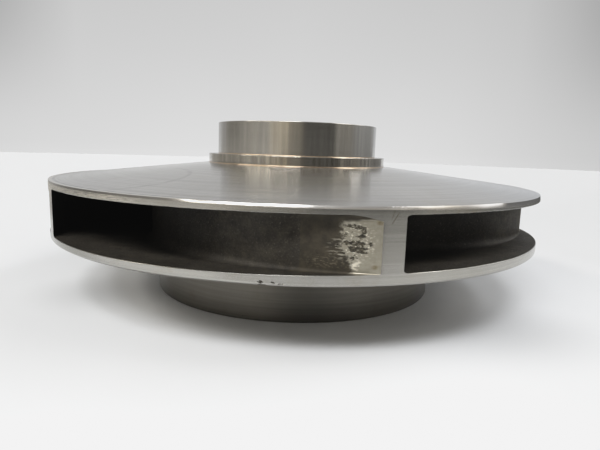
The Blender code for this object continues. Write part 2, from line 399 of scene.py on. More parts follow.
def back_disc(materials):
    """The back shroud: cast ceiling below, turned rim, bevel and cone above."""
    ceiling = []
    for step in range(CEILING_STEPS + 1):
        radius = SLEEVE_RADIUS + (RIM_RADIUS - 0.2 - SLEEVE_RADIUS) * step / CEILING_STEPS
        ceiling.append((radius, ceiling_height(radius)))
    cone_foot = (RIM_RADIUS - CONE_START[0], BEVEL_HEAD + CONE_START[1])
    cone = line(cone_foot, (COLLAR_RADIUS + CORNER_FILLET + 0.4, CONE_TOP), CONE_STEPS)
    fillet_centre = (COLLAR_RADIUS + CORNER_FILLET, CONE_TOP + CORNER_FILLET)
    fillet = arc(fillet_centre, (CORNER_FILLET, CORNER_FILLET), 270.0, 180.0, FILLET_STEPS)
    head = zoned(cone, THIRD) + zoned(fillet[:-1], FILLET) + zoned(fillet[-1:], SHOULDER)
    head += zoned([(COLLAR_RADIUS, SLEEVE_LOW), (SLEEVE_RADIUS, SLEEVE_LOW)], CAST)

    def profile(angle):
        wear = edge_wear(angle, *BACK_WEAR)
        swing = BEVEL_FOOT_SWING * math.cos(angle) - BEVEL_FOOT_LEAN * math.sin(angle)
        foot = max(BEVEL_FOOT_LEAST, BEVEL_FOOT + swing)
        brow = BEVEL_HEAD - BEVEL_HEAD_LEAN * math.sin(angle)
        section = zoned(ceiling, CAST)
        section += [(RIM_RADIUS - wear, TOP_RIM_LOW, FACE), (RIM_RADIUS, TOP_RIM_LOW + wear, FACE)]
        section += [(RIM_RADIUS, foot - 0.15, FACE), (RIM_RADIUS - 0.02, foot, BEVEL)]
        section += [(RIM_RADIUS - bevel_slope(angle) * (brow - foot), brow, THIRD)]
        return section + head

    return turned("back_disc", profile, even(DISC_STEPS), materials)


def lower_edge(angle):
    """The rounded lower edge of the lower rim, from its top down, with the nicks cut into it."""
    share = 0.5 - EDGE_RISE_RATE * math.sin(angle - math.radians(EDGE_RISE_ANGLE))
    foot = BOTTOM_RIM_LOW + EDGE_RISE * clamp(share)
    rows = [(RIM_RADIUS, height) for height in NICK_ROWS]
    rows += arc((RIM_RADIUS - LOWER_ROUND, LOWER_ROUND), (LOWER_ROUND, LOWER_ROUND), 0.0, -90.0, FILLET_STEPS)
    section, above = [], rows[0][1]
    for radius, height in rows:
        # Faces inside the nicks take the dark cast scale: painted shade in the nicks
        zone = CAST if nick(angle, 0.5 * (above + height)) > 0.1 else FACE
        section.append((radius - nick(angle, height), foot + height, zone))
        above = height
    return section


def front_disc(materials):
    """The front shroud: cast floor above, turned rim and underside."""
    neck_low = EYE_RING_HIGH
    slope = (BOTTOM_RIM_LOW - UNDERSIDE_KNEE_HIGH) / (RIM_RADIUS - UNDERSIDE_KNEE_RADIUS)
    fillet_end = EYE_RING_RADIUS + NECK_FILLET
    fillet_high = UNDERSIDE_KNEE_HIGH - slope * (UNDERSIDE_KNEE_RADIUS - fillet_end)
    knee = (fillet_end + 1.0, fillet_high + slope)
    under = line((RIM_RADIUS - 2.0, BOTTOM_RIM_LOW - 0.05), knee, UNDERSIDE_STEPS)
    under += arc((fillet_end, neck_low), (NECK_FILLET, fillet_high - neck_low), 90.0, 180.0, UNDERSIDE_STEPS)
    inner = floor_radius(neck_low)

    def profile(angle):
        degrees = signed_degrees(angle)
        level = CRISP_LEVEL if CRISP_EDGE[0] < degrees < CRISP_EDGE[1] else 1.0
        wear = edge_wear(angle, *FRONT_WEAR, level)
        if RIM_CHIP[0] < degrees < RIM_CHIP[1]:
            wear += RIM_CHIP[2]
        section = []
        for step in range(BEND_STEPS + 1):
            radius = inner + (RIM_RADIUS - 0.3 - inner) * (step / BEND_STEPS) ** 1.4
            height = max(neck_low, floor_height(radius, angle)) if step else neck_low
            section.append((radius, height, CAST))
        high = floor_height(RIM_RADIUS, angle)
        section += [(RIM_RADIUS - wear, high, FACE), (RIM_RADIUS, high - wear, FACE)]
        return (section + lower_edge(angle) + zoned(under, THIRD))[::-1]

    return turned("front_disc", profile, sorted(even(DISC_STEPS) + nick_angles()), materials)


def eye(materials):
    inner = []
    for step in range(FILLET_STEPS + 1):
        height = FLOOR_BEND_LOW + (EYE_RING_HIGH - FLOOR_BEND_LOW) * step / FILLET_STEPS
        inner.append((floor_radius(height), height))
    points = [(EYE_RADIUS, EYE_CHAMFER), (EYE_RADIUS + EYE_CHAMFER, 0.0)]
    points += [(EYE_RING_RADIUS - EYE_CHAMFER, 0.0)]
    points += [(EYE_RING_RADIUS - 0.3, EYE_CHAMFER * 0.45), (EYE_RING_RADIUS, EYE_CHAMFER)]
    points += line((EYE_RING_RADIUS, EYE_CHAMFER + 0.3), (EYE_RING_RADIUS, EYE_RING_HIGH), 8)
    points += inner[::-1]
    return turned("eye", lambda angle: zoned(points, FACE), even(DISC_STEPS), materials)


# Vanes


def vane_angle(radius):
    share = (radius - LEADING_RADIUS_HIGH) / (RIM_RADIUS - LEADING_RADIUS_HIGH)
    return math.radians(VANE_ANGLE_AT_EYE + (VANE_ANGLE_AT_RIM - VANE_ANGLE_AT_EYE) * share)


def vane_thickness(radius):
    run = min(1.0, (radius - LEADING_RADIUS_HIGH + LEADING_BLUNTNESS) / VANE_THICKNESS)
    taper = max(0.0, (radius - TIP_TAPER_START) / (RIM_RADIUS - TIP_TAPER_START))
    return math.sqrt(run * (2.0 - run)) * (VANE_THICKNESS + (TIP_THICKNESS - VANE_THICKNESS) * taper)


def suction_line():
    """(radius, angle) along the suction side of the first vane, from the rim to the leading edge."""
    found = []
    angle = math.radians(TIP_ANGLE) + TIP_THICKNESS / (RIM_RADIUS * math.sin(vane_angle(RIM_RADIUS)))
    step = (RIM_RADIUS - LEADING_RADIUS_HIGH) / VANE_STATIONS
    for station in range(VANE_STATIONS + 1):
        radius = RIM_RADIUS - station * step
        found.append((radius, angle))
        middle = radius - 0.5 * step
        angle -= step / (middle * math.tan(vane_angle(middle)))
    return found


def vane_foot(radius, angle):
    """Height of the vane's lower edge, and the size of the corner there: negative where it is rounded off."""
    if radius >= LEADING_RADIUS_LOW:
        return floor_height(radius, angle), 1.0
    foot = floor_height(LEADING_RADIUS_LOW, angle)
    high = ceiling_height(LEADING_RADIUS_HIGH) - VANE_THICKNESS
    share = (LEADING_RADIUS_LOW - radius) / (LEADING_RADIUS_LOW - LEADING_RADIUS_HIGH)
    return foot + (high - foot) * share, max(-1.0, 1.0 - 8.0 * share)


def side(angle, reach, high, low_end, corner_high, corner_low, dressed):
    """One side of a vane's section as (angle, z) from top to bottom. reach is +1 towards larger angles.

    dressed turns the round upper corner into the long flat slope that a grinder left near the rim.
    """
    points = []
    for step in range(CORNER_STEPS + 1):
        share = step / CORNER_STEPS
        turn = 0.5 * math.pi * step / CORNER_STEPS
        across = 1.0 - math.sin(turn) + (math.sin(turn) - share) * dressed
        drop = 1.0 - math.cos(turn) + (share ** 2.0 - 1.0 + math.cos(turn)) * dressed
        points.append((angle + reach * corner_high[0] * across, high - corner_high[1] * drop))
    body_high = high - corner_high[1]
    body_low = low_end + abs(corner_low[1])
    for step in range(1, BODY_STEPS):
        points.append((angle, body_high + (body_low - body_high) * step / BODY_STEPS))
    for step in range(CORNER_STEPS + 1):
        turn = 0.5 * math.pi * step / CORNER_STEPS
        across = reach * corner_low[0] * (1.0 - math.cos(turn))
        points.append((angle + across, body_low - abs(corner_low[1]) * math.sin(turn)))
    return points


def vane_section(radius, suction, turn):
    """Grid rows of (angle, z): each row runs across the vane from its pressure side to its suction side."""
    sine = math.sin(vane_angle(radius))
    width = vane_thickness(radius) / (radius * sine)
    pressure = suction - width
    high = ceiling_height(radius) + SINK
    stretch = 1.0 / (radius * sine)
    middle = 0.5 * (pressure + suction) + turn
    foot, sign = vane_foot(radius, middle)
    narrow = min(1.0, (radius - LEADING_RADIUS_HIGH + 2.0) / 20.0)
    near_tip = max(0.0, 1.0 - (RIM_RADIUS - radius) / DRESSED_LENGTH)
    inside = min(1.0, (RIM_RADIUS - radius) / FILLET_GROWTH)
    pressure_low = FILLET_PRESSURE_LOW + (FILLET_PRESSURE_DEEP - FILLET_PRESSURE_LOW) * inside
    sides = []
    for base, reach, size_high, size_low, dressed in (
        (pressure, -1.0, FILLET_PRESSURE_HIGH, pressure_low, near_tip),
        (suction, 1.0, FILLET_SUCTION, FILLET_SUCTION, 0.0),
    ):
        corner_high = (size_high * (1.0 + dressed) * stretch * narrow, size_high * narrow)
        if sign > 0.0:
            corner_low = (size_low * stretch * sign, size_low * sign)
        else:
            corner_low = (0.49 * width * sign, 0.49 * width / stretch * sign)
        low_end = foot - (SINK if sign > 0.99 else 0.0)
        sides.append(side(base + turn, reach, high, low_end, corner_high, corner_low, dressed))
    return [line(left, right, ACROSS_STEPS) for left, right in zip(*sides)]


def vane(which, materials):
    """One vane with its corner fillets, closed by the flush tip face at the rim and the leading edge."""
    turn = math.tau * (which - 1) / VANE_COUNT
    sections = [(radius, vane_section(radius, angle, turn)) for radius, angle in suction_line()]
    last, right, end = len(sections[0][1]) - 1, ACROSS_STEPS, VANE_STATIONS
    verts, faces, zones, index = [], [], [], {}

    def vertex(station, row, column):
        key = (station, row, column)
        if key not in index:
            radius, grid = sections[station]
            index[key] = len(verts)
            verts.append(place(radius, *grid[row][column]))
        return index[key]

    def quad(zone, *corners):
        faces.append([vertex(*corner) for corner in reversed(corners)])
        zones.append(zone)

    for s in range(end):
        t = s + 1
        zone = THIRD if sections[t][0] > RIM_RADIUS - GROUND_ZONE else CAST
        for row in range(last):
            quad(zone, (s, row, 0), (s, row + 1, 0), (t, row + 1, 0), (t, row, 0))
            quad(CAST, (s, row, right), (t, row, right), (t, row + 1, right), (s, row + 1, right))
        for column in range(right):
            quad(CAST, (s, 0, column), (t, 0, column), (t, 0, column + 1), (s, 0, column + 1))
            quad(CAST, (s, last, column), (s, last, column + 1), (t, last, column + 1), (t, last, column))
    for row in range(last):
        for column in range(right):
            here, there = (row, column), (row + 1, column + 1)
            beside, below = (row, column + 1), (row + 1, column)
            quad(FACE, (0, *here), (0, *beside), (0, *there), (0, *below))
            quad(CAST, (end, *here), (end, *below), (end, *there), (end, *beside))
    return add_piece(f"vane_blade_{which}", verts, faces, zones, materials)


def edge_wear(angle, seed, clear, fade, level=1.0):
    """Size of the broken edge where a passage opens at the rim.

    It is least within clear degrees of a vane's tip and reaches its full size fade degrees farther on.
    """
    spacing = math.tau / VANE_COUNT
    tip = math.radians(TIP_ANGLE)
    away = abs((angle - tip + 0.5 * spacing) % spacing - 0.5 * spacing)
    share = clamp((math.degrees(away) - clear) / fade)
    rough = 0.6 + 0.4 * noise.noise(Vector((40.0 * math.sin(angle), 40.0 * math.cos(angle), seed)))
    return LEAST_WEAR + level * RIM_EDGE_WEAR * share * rough


def nick(angle, height):
    """Depth of the nicks in the lower rim at an angle, and at a height above its lower edge."""
    degrees = signed_degrees(angle)
    wander = NICK_WANDER * noise.noise(Vector((degrees * 2.0, 0.0, 5.0)))
    deep = 0.0
    for start, end, low_side, high_side, depth in NICKS:
        if start < degrees < end and low_side < height + wander < high_side:
            deep = max(deep, depth)
    return deep


def nick_angles():
    """Extra angles, so that the nicks are cut finely."""
    start = min(row[0] for row in NICKS[:NICK_CLUSTER]) - NICK_STEP
    end = max(row[1] for row in NICKS[:NICK_CLUSTER]) + NICK_STEP
    count = math.ceil((end - start) / NICK_STEP)
    return [math.radians(start + (end - start) * step / count) % math.tau for step in range(count + 1)]


# Shader helpers


class Value:
    """The output of a shader node. Arithmetic with it makes Math nodes."""

    def __init__(self, tree, socket):
        self.tree = tree
        self.socket = socket

    def __add__(self, other):
        return number("ADD", self, other)

    def __sub__(self, other):
        return number("SUBTRACT", self, other)

    def __rsub__(self, other):
        return number("SUBTRACT", other, self)

    def __mul__(self, other):
        return number("MULTIPLY", self, other)

    def __truediv__(self, other):
        return number("DIVIDE", self, other)


def feed(socket, value):
    """Give a socket a number, a colour or the output of another node."""
    if isinstance(value, Value):
        value.tree.links.new(value.socket, socket)
    elif isinstance(value, tuple):
        socket.default_value = (*value, 1.0)
    else:
        socket.default_value = value


def tree_of(*values):
    """The node tree of the first Value among some values."""
    return next(value.tree for value in values if isinstance(value, Value))


def number(operation, *values):
    """A Math node."""
    tree = tree_of(*values)
    node = tree.nodes.new("ShaderNodeMath")
    node.operation = operation
    for socket, value in zip(node.inputs, values):
        feed(socket, value)
    return Value(tree, node.outputs["Value"])


def affine(value, slope, start):
    return number("MULTIPLY_ADD", value, slope, start)


def distance(across, up):
    return number("SQRT", across * across + up * up)


def blended(kind, share, first, second):
    """A colour Mix node. first and second are colours or outputs."""
    tree = tree_of(share, first, second)
    node = tree.nodes.new("ShaderNodeMix")
    node.data_type = "RGBA"
    node.blend_type = kind
    for index, value in ((0, share), (6, first), (7, second)):
        feed(node.inputs[index], value)
    return Value(tree, node.outputs[2])


def mixed(share, first, second):
    return blended("MIX", share, first, second)


def tinted(first, second):
    return blended("MULTIPLY", 1.0, first, second)


def ramp(share, stops):
    """A colour ramp. stops are (place from 0 to 1, colour)."""
    node = share.tree.nodes.new("ShaderNodeValToRGB")
    elements = node.color_ramp.elements
    while len(elements) < len(stops):
        elements.new(0.5)
    for element, (where, colour) in zip(elements, stops):
        element.position = where
        element.color = (*colour, 1.0)
    feed(node.inputs["Fac"], share)
    return Value(share.tree, node.outputs["Color"])


def span(value, low, high, start=0.0, end=1.0):
    """An eased value that goes from start to end while the input goes from low to high."""
    node = value.tree.nodes.new("ShaderNodeMapRange")
    node.interpolation_type = "SMOOTHSTEP"
    names = ("Value", "From Min", "From Max", "To Min", "To Max")
    for name, given in zip(names, (value, low, high, start, end)):
        feed(node.inputs[name], given)
    return Value(value.tree, node.outputs["Result"])


def fall(value, low, high):
    """One up to low, eased down to zero at high."""
    return span(value, low, high, 1.0, 0.0)


def vector(*parts):
    tree = tree_of(*parts)
    node = tree.nodes.new("ShaderNodeCombineXYZ")
    for socket, part in zip(node.inputs, parts):
        feed(socket, part)
    return Value(tree, node.outputs["Vector"])


def axes(point):
    """The x, y and z of a vector."""
    node = point.tree.nodes.new("ShaderNodeSeparateXYZ")
    feed(node.inputs["Vector"], point)
    return [Value(point.tree, node.outputs[axis]) for axis in "XYZ"]


def cloud(point, size, detail=2.0, rough=0.5):
    """Noise from 0 to 1 whose spots are about size wide, in the units of point."""
    node = point.tree.nodes.new("ShaderNodeTexNoise")
    for name, given in (("Vector", point), ("Scale", 1.0 / size), ("Detail", detail), ("Roughness", rough)):
        feed(node.inputs[name], given)
    return Value(point.tree, node.outputs["Fac"])


Spot = namedtuple("Spot", "point x y z radius east north")


def cylinder_place(tree):
    """Object position in millimetres: the point, x, y, z, radius and the direction (x / r, y / r)."""
    node = tree.nodes.new("ShaderNodeVectorMath")
    node.operation = "SCALE"
    feed(node.inputs["Scale"], 1.0 / MM)
    feed(node.inputs[0], Value(tree, tree.nodes.new("ShaderNodeTexCoord").outputs["Object"]))
    point = Value(tree, node.outputs["Vector"])
    x, y, z = axes(point)
    radius = number("MAXIMUM", distance(x, y), 0.1)
    return Spot(point, x, y, z, radius, x / radius, y / radius)


def turn_from_front(x, y):
    """Angle round the shaft axis, from the viewer's side towards +X."""
    return number("ARCTAN2", x, y * -1.0)


def around_rim(at):
    """Length round the rim in millimetres, from the viewer's side towards +X."""
    return turn_from_front(at.x, at.y) * RIM_RADIUS


def stroke(across, up, start, end, width):
    """One on a straight scratch between two points (across, up), and zero away from it."""
    length = math.dist(start, end)
    lean, rise = (end[0] - start[0]) / length, (end[1] - start[1]) / length
    off_across = across - start[0]
    off_up = up - start[1]
    along = off_across * lean + off_up * rise
    beside = off_across * rise - off_up * lean
    half = 0.5 * width
    thin = fall(number("ABSOLUTE", beside), 0.2 * width, width)
    return thin * (span(along, -half, half) * fall(along, length - half, length + half))


def blot(across, up, centre, size, soft=0.5):
    """One inside an oval spot about a point (across, up), and zero outside."""
    off = distance((across - centre[0]) / size[0], (up - centre[1]) / size[1])
    return fall(off, 1.0 - soft, 1.0 + 0.5 * soft)


def bump(shader, height, depth):
    """Relief as deep as depth, in metres."""
    node = height.tree.nodes.new("ShaderNodeBump")
    feed(node.inputs["Distance"], depth)
    feed(node.inputs["Height"], height)
    feed(shader.inputs["Normal"], Value(height.tree, node.outputs["Normal"]))


def shader_material(name):
    """A new material, its shader and its cylinder_place."""
    material = bpy.data.materials.new(name)
    material.use_nodes = True
    tree = material.node_tree
    return material, tree.nodes["Principled BSDF"], cylinder_place(tree)


def dress(shader, colour, metallic, roughness):
    for name, value in (("Base Color", colour), ("Metallic", metallic), ("Roughness", roughness)):
        feed(shader.inputs[name], value)


def shaded(colour, level):
    return tuple(level * c for c in colour)


# Materials

# Colours of the metal, its stains and marks, and of painted shade and highlights on it
FACE_METAL = (0.585, 0.575, 0.555)
BROWN_TINT = (0.80, 0.72, 0.58)
LIP_METAL = (0.74, 0.70, 0.62)
SCRATCH_BROWN = (0.17, 0.145, 0.09)
SKIN_LIGHT = (0.88, 0.85, 0.76)
SKIN_DARK = (0.20, 0.19, 0.16)
# The next two are painted shade: at the lower rim's left end, and on its rounded lower edge
RIM_LEFT_PAINTED_SHADE = (0.37, 0.365, 0.325)
RIM_EDGE_PAINTED_SHADE = (0.23, 0.22, 0.20)
# Painted highlight at the wear ring's left
RING_PAINTED_HIGHLIGHT = (0.30, 0.29, 0.27)
# Painted highlight on the bevel above the first vane's tip
BEVEL_PAINTED_HIGHLIGHT = (0.82, 0.80, 0.77)
CAST_SCALE = [
    (0.30, (0.026, 0.023, 0.018)), (0.50, (0.048, 0.042, 0.033)), (0.66, (0.074, 0.065, 0.049)),
    (0.78, (0.108, 0.096, 0.074)),
]
CAST_GLINT = (0.20, 0.18, 0.145)
END_SCALE = [(0.30, (0.020, 0.017, 0.011)), (0.70, (0.060, 0.049, 0.032))]
TAN_SCALE = (0.17, 0.145, 0.10)
TAN_METAL = [(0.30, (0.36, 0.335, 0.27)), (0.70, (0.48, 0.45, 0.37))]
SPARKLE = (0.90, 0.86, 0.75)
# Painted highlight where the vane's lower fillet catches the light
FILLET_PAINTED_HIGHLIGHT = (0.95, 0.90, 0.78)
STAIN_BROWN = (0.22, 0.17, 0.085)
PIT_FLOOR = [(0.40, (0.012, 0.010, 0.007)), (0.64, (0.11, 0.095, 0.064))]

# A smudge on the cone, in millimetres, and where a dark line and a light lip run round near its rim
SMUDGE_CENTRE = (-95.0, -92.0)
SMUDGE_SIZE = (35.0, 41.0)
LINE_STARTS = (160.8, 161.5)
LINE_ENDS = (162.3, 163.0)
LIP_STARTS = (162.6, 163.4)
# Length round the rim where a painted highlight on the bevel begins, and where it ends
BEVEL_HIGHLIGHT_STARTS = (6.0, 16.0)
BEVEL_HIGHLIGHT_ENDS = (46.0, 54.0)


def across_grooves(at, stretch):
    """A place that changes quickly across the tool's grooves and slowly along them, on any turned face."""
    return vector(at.radius * 0.83 + at.z * 0.71, at.east * stretch, at.north * stretch)


def turned_steel(
    name, colour, roughness, anisotropy, groove_depth, stain=0.25, chatter_share=0.1, contrast=(0.86, 1.10),
    patchy=1.0, marks=None
):
    """Turned stainless steel: rings of tool marks that smear reflections across them, chatter and stains."""
    material, shader, at = shader_material("turned_steel_" + name)
    feed(shader.inputs["Anisotropic"], anisotropy)
    feed(shader.inputs["Anisotropic Rotation"], 0.25)
    tangent = material.node_tree.nodes.new("ShaderNodeTangent")
    tangent.direction_type = "RADIAL"
    tangent.axis = "Z"
    feed(shader.inputs["Tangent"], Value(material.node_tree, tangent.outputs["Tangent"]))

    fine = cloud(across_grooves(at, 1.0), 0.45, 3.0, 0.6)
    broad = cloud(across_grooves(at, 1.5), 1.2, 2.0)
    chatter = cloud(vector(at.east * 60.0, at.north * 60.0, at.z * 0.03), 2.3, 2.0)
    cloudy = cloud(at.point, 22.0, 5.0, 0.6)
    specks = cloud(at.point, 2.2, 4.0, 0.7)

    dark, light = (tuple(min(1.0, share * c) for c in colour) for share in contrast)
    base = ramp(broad * (1.0 - chatter_share) + chatter * chatter_share, [(0.30, dark), (0.70, light)])
    brown = tuple(c * tint for c, tint in zip(colour, BROWN_TINT))
    stained = span(cloudy, 0.50, 0.74) * span(specks, 0.40, 0.62, 0.3, 1.0)
    base = mixed(stained * stain, base, brown)
    dull = cloudy * (0.10 * patchy) + broad * (0.08 * patchy)
    dress(shader, marks(base, at) if marks else base, 1.0, dull + (roughness - 0.09 * patchy))
    bump(shader, fine, groove_depth)
    return material


def cone_marks(base, at):
    """Marks on the cone: a faint dark hoop of a smudge, and at the left a dark line and a light lip."""
    off_x = (at.x - SMUDGE_CENTRE[0]) / SMUDGE_SIZE[0]
    away = distance(off_x, (at.y - SMUDGE_CENTRE[1]) / SMUDGE_SIZE[1])
    broken = cloud(at.point, 6.0, 5.0, 0.7)
    off_line = number("ABSOLUTE", away + affine(broken, 0.16, -0.08))
    hoop = fall(number("ABSOLUTE", off_line - 1.0), 0.01, 0.06)
    hoop = hoop * span(off_x, -0.1, 0.3) * span(broken, 0.40, 0.60, 0.35, 1.0)
    inside = span(away, 0.85, 1.0, 0.30, 0.0)
    smudge = number("MAXIMUM", hoop, inside * span(broken, 0.48, 0.66))
    base = mixed(smudge * 0.55, base, shaded(FACE_METAL, 0.62))
    left = fall(at.x, -60.0, -30.0)
    ring = span(at.radius, *LINE_STARTS) * fall(at.radius, *LINE_ENDS)
    ring = ring * left * span(broken, 0.35, 0.55, 0.3, 1.0)
    base = mixed(ring * 0.6, base, shaded(FACE_METAL, 0.4))
    return mixed(span(at.radius, *LIP_STARTS) * left * 0.7, base, LIP_METAL)


def rim_scratches_skin_and_painted_shade(base, at):
    """Scratches on the first vane's tip, blotchy skin at the upper rim's left, painted shade at left and
    lower ends.
    """
    along = around_rim(at)
    for scratch in TIP_SCRATCHES:
        base = mixed(stroke(along, at.z, *scratch) * 0.75, base, SCRATCH_BROWN)
    left = fall(along, -95.0, -55.0) * span(at.z, 65.0, 71.0)
    lined = vector(along * 0.12, at.z, 0.0)
    flecks = span(cloud(lined, 0.55, 4.0, 0.65), 0.38, 0.56)
    base = mixed(left * flecks * 0.85, base, SKIN_LIGHT)
    lines = span(cloud(lined, 0.35, 3.0, 0.6), 0.60, 0.70)
    base = mixed(left * lines * 0.6, base, SKIN_DARK)
    # Painted shade at the lower rim's left end
    dull = span(at.x, -125.0, -90.0, 0.8, 0.0) * fall(at.z, 52.0, 60.0)
    base = mixed(dull, base, RIM_LEFT_PAINTED_SHADE)
    # Painted shade, darker towards the rims' left ends
    base = tinted(base, span(at.x, -112.0, -80.0, 0.78, 1.0))
    # Painted shade on the lower rim's rounded lower edge
    return mixed(span(at.z, 41.5, 42.2, 0.65, 0.0), base, RIM_EDGE_PAINTED_SHADE)


def ring_painted_shade_and_highlight(base, at):
    """Painted shade darkens the front of the wear ring, and a painted highlight brightens its left."""
    off = number("ABSOLUTE", at.x - 8.0)
    base = tinted(base, span(off, 2.0, 36.0, 0.55, 1.0))
    return mixed(span(at.x, -94.0, -78.0, 0.6, 0.0), base, RING_PAINTED_HIGHLIGHT)


def bevel_painted_highlights(base, at):
    """Painted highlights: along the bevel above the first vane's tip, and at dents where something struck it.
    """
    along = around_rim(at)
    painted_highlight = span(along, *BEVEL_HIGHLIGHT_STARTS) * span(along, *BEVEL_HIGHLIGHT_ENDS, 0.68, 0.0)
    base = mixed(painted_highlight, base, BEVEL_PAINTED_HIGHLIGHT)
    for dent_highlight in BEVEL_DENT_HIGHLIGHTS:
        base = mixed(stroke(along, at.z, *dent_highlight), base, NEUTRAL)
    return base


def cast_steel(name):
    """Sand-cast steel that was never machined: dark scale, mottled brown and grey, with a gritty skin."""
    material, shader, at = shader_material(name)
    mottle = cloud(at.point, 5.0, 6.0, 0.66)
    grit = cloud(at.point, 0.8, 3.0, 0.6)
    patches = cloud(at.point, 20.0, 3.0)
    # Painted shade deep in the passages, and darker towards the rim
    scale = tinted(ramp(mottle, CAST_SCALE), span(at.radius, *DEEP_PAINTED_SHADE) * span(at.radius, *RIM_DARKENING))
    colour = mixed(span(grit, 0.60, 0.74) * 0.35, scale, CAST_GLINT)
    dress(shader, colour, span(patches, 0.35, 0.70, 0.35, 0.65), span(grit, 0.30, 0.70, 0.74, 0.56))
    bump(shader, mottle * 0.5 + grit * 0.35, 0.0004)
    return material


def bare_metal(run, z, ragged):
    """One where a grinder bared the vane's end, with a ragged border and streaks beyond it."""
    corner = number("MAXIMUM", GROUND_CORNER_HIGH - z, 0.0)
    edge = run + corner * GROUND_CORNER_SLOPE + affine(ragged, 8.0, -4.0)
    bare = fall(edge, GROUND_REACH - 1.0, GROUND_REACH + 1.0)
    streaks = span(cloud(vector(run * 0.22, z, 0.0), 0.9, 3.0, 0.6), 0.52, 0.60) * blot(run, z, *STREAKS)
    bare = number("MAXIMUM", bare, streaks * 0.8)
    top_edge = z + affine(ragged, 3.0, -1.5) - span(run, 4.0, 12.0, 0.9, 0.0)
    return bare * fall(top_edge, *GROUND_TOP)


def casting_pits(run, z, near, patches, squat):
    """One in the casting pits, which crowd near PIT_CENTRE and most of all along PIT_ROWS."""
    rows = stroke(run, z, *PIT_ROWS[0])
    for row in PIT_ROWS[1:]:
        rows = number("MAXIMUM", rows, stroke(run, z, *row))
    share = affine(near, PIT_SHARE_NEAR, PIT_SHARE_OUTSIDE) + rows * PIT_SHARE_ROW
    return span(share + patches - cloud(squat, 1.0, 5.0, 0.72), 0.0, 0.06)


def bright_metal(run, z, near, ragged, flecks):
    """Colour of the ground metal, with sparkle among the pits, painted highlights at the lower corner and
    brown stains.
    """
    sparkle = span(flecks, 0.54, 0.64) * (near * 1.1)
    bright = mixed(sparkle, ramp(ragged, TAN_METAL), SPARKLE)
    broken = span(flecks, 0.34, 0.56, 0.35, 0.95)
    # Painted highlights where the lower fillet catches the light
    for highlight_stroke in FILLET_HIGHLIGHT_STROKES:
        bright = mixed(stroke(run, z, *highlight_stroke) * broken, bright, FILLET_PAINTED_HIGHLIGHT)
    for centre, size in TIP_STAINS:
        stain = blot(run, z, centre, size, 0.9) * span(flecks, 0.3, 0.6, 0.5, 1.0)
        bright = mixed(stain * 0.85, bright, STAIN_BROWN)
    return bright


def ground_end(name):
    """The last stretch of a vane: dark scale, then bright ground metal with a cluster of casting pits."""
    material, shader, at = shader_material(name)
    run, z = (RIM_RADIUS - at.radius) * RUN_PER_RADIUS, at.z
    along = vector(run, z, 0.0)
    squat = vector(run * 0.6, z, 0.0)
    ragged = cloud(along, 3.0, 5.0, 0.65)
    flecks = cloud(squat, 0.8, 3.0, 0.6)
    mottle = cloud(at.point, 5.0, 6.0, 0.66)
    near = blot(run, z, PIT_CENTRE, PIT_SPREAD)
    bare = bare_metal(run, z, ragged)
    pits = casting_pits(run, z, near, affine(cloud(along, 3.0), 0.3, -0.15), squat)
    metal_share = bare * (1.0 - pits)

    tan_share = span(flecks, 0.50, 0.64) * blot(run, z, *TAN_PATCH, 0.8)
    scale = mixed(tan_share * 0.6, ramp(mottle, END_SCALE), TAN_SCALE)
    dark = mixed(bare * pits, scale, ramp(flecks, PIT_FLOOR))
    colour = mixed(metal_share, dark, bright_metal(run, z, near, ragged, flecks))
    dress(shader, colour, span(metal_share, 0.0, 1.0, 0.35, 0.95), span(metal_share, 0.0, 1.0, 0.70, 0.45))
    bump(shader, affine(metal_share, 0.6, mottle * 0.4), 0.0003)
    return material


# Stage and light. Azimuths are in degrees from the viewer's side and grow towards +X, elevations from level

# Radius of the stage, and how far the table stands above the sheet, in metres
FLOOR_SIZE = 4.0
TABLE_HIGH = 0.002
TABLE_STEPS = 12
PAPER_ROUGHNESS = 0.9
SHEET_COLOUR = (0.82, 0.84, 0.87)
# Painted shade and light on the sheet: it darkens to both sides, away from the viewer and to the right,
# and is lighter in front: from, to in millimetres, and the level at each
SHEET_SIDES = (70.0, 140.0, 1.0, 0.95)
SHEET_DEPTH = (-60.0, 120.0, 1.07, 0.925)
SHEET_RIGHT = (200.0, 300.0, 1.0, 0.92)
# Painted soft shadows on the sheet at both sides of the object: centre and size in millimetres, and strength
SHEET_PAINTED_SHADOWS = [((108.0, -100.0), (62.0, 42.0), 0.28), ((-125.0, -48.0), (40.0, 36.0), 0.22)]
# Where the sheet ends and the table begins: azimuth in degrees, and distance from the axis in metres
SHEET_EDGE = [
    (-140, 0.45), (-30, 0.45), (-20, 0.33), (8, 0.33), (22, 0.31), (60, 0.31), (80, 0.43), (140, 0.45),
]
# The table's colour by azimuth, near and far, and the radii in millimetres where one turns into the other
TABLE_LEFT = [
    (-180, (0.40, 0.39, 0.37)), (-40, (0.40, 0.39, 0.37)), (-26, (0.34, 0.33, 0.31)),
    (-18, (0.05, 0.05, 0.047)),
]
TABLE_NEAR = TABLE_LEFT + [
    (6, (0.05, 0.05, 0.047)), (18, (0.28, 0.28, 0.27)), (32, (0.52, 0.52, 0.50)), (60, (0.52, 0.52, 0.50)),
    (80, (0.12, 0.12, 0.115)), (180, (0.12, 0.12, 0.115)),
]
TABLE_FAR = TABLE_LEFT + [(180, (0.05, 0.05, 0.047))]
TABLE_REACH = (560.0, 660.0)
NEUTRAL = (1.0, 1.0, 1.0)
WARM = (1.0, 0.87, 0.66)
WARMISH = (1.0, 0.95, 0.86)
COOL = (0.97, 0.99, 1.03)

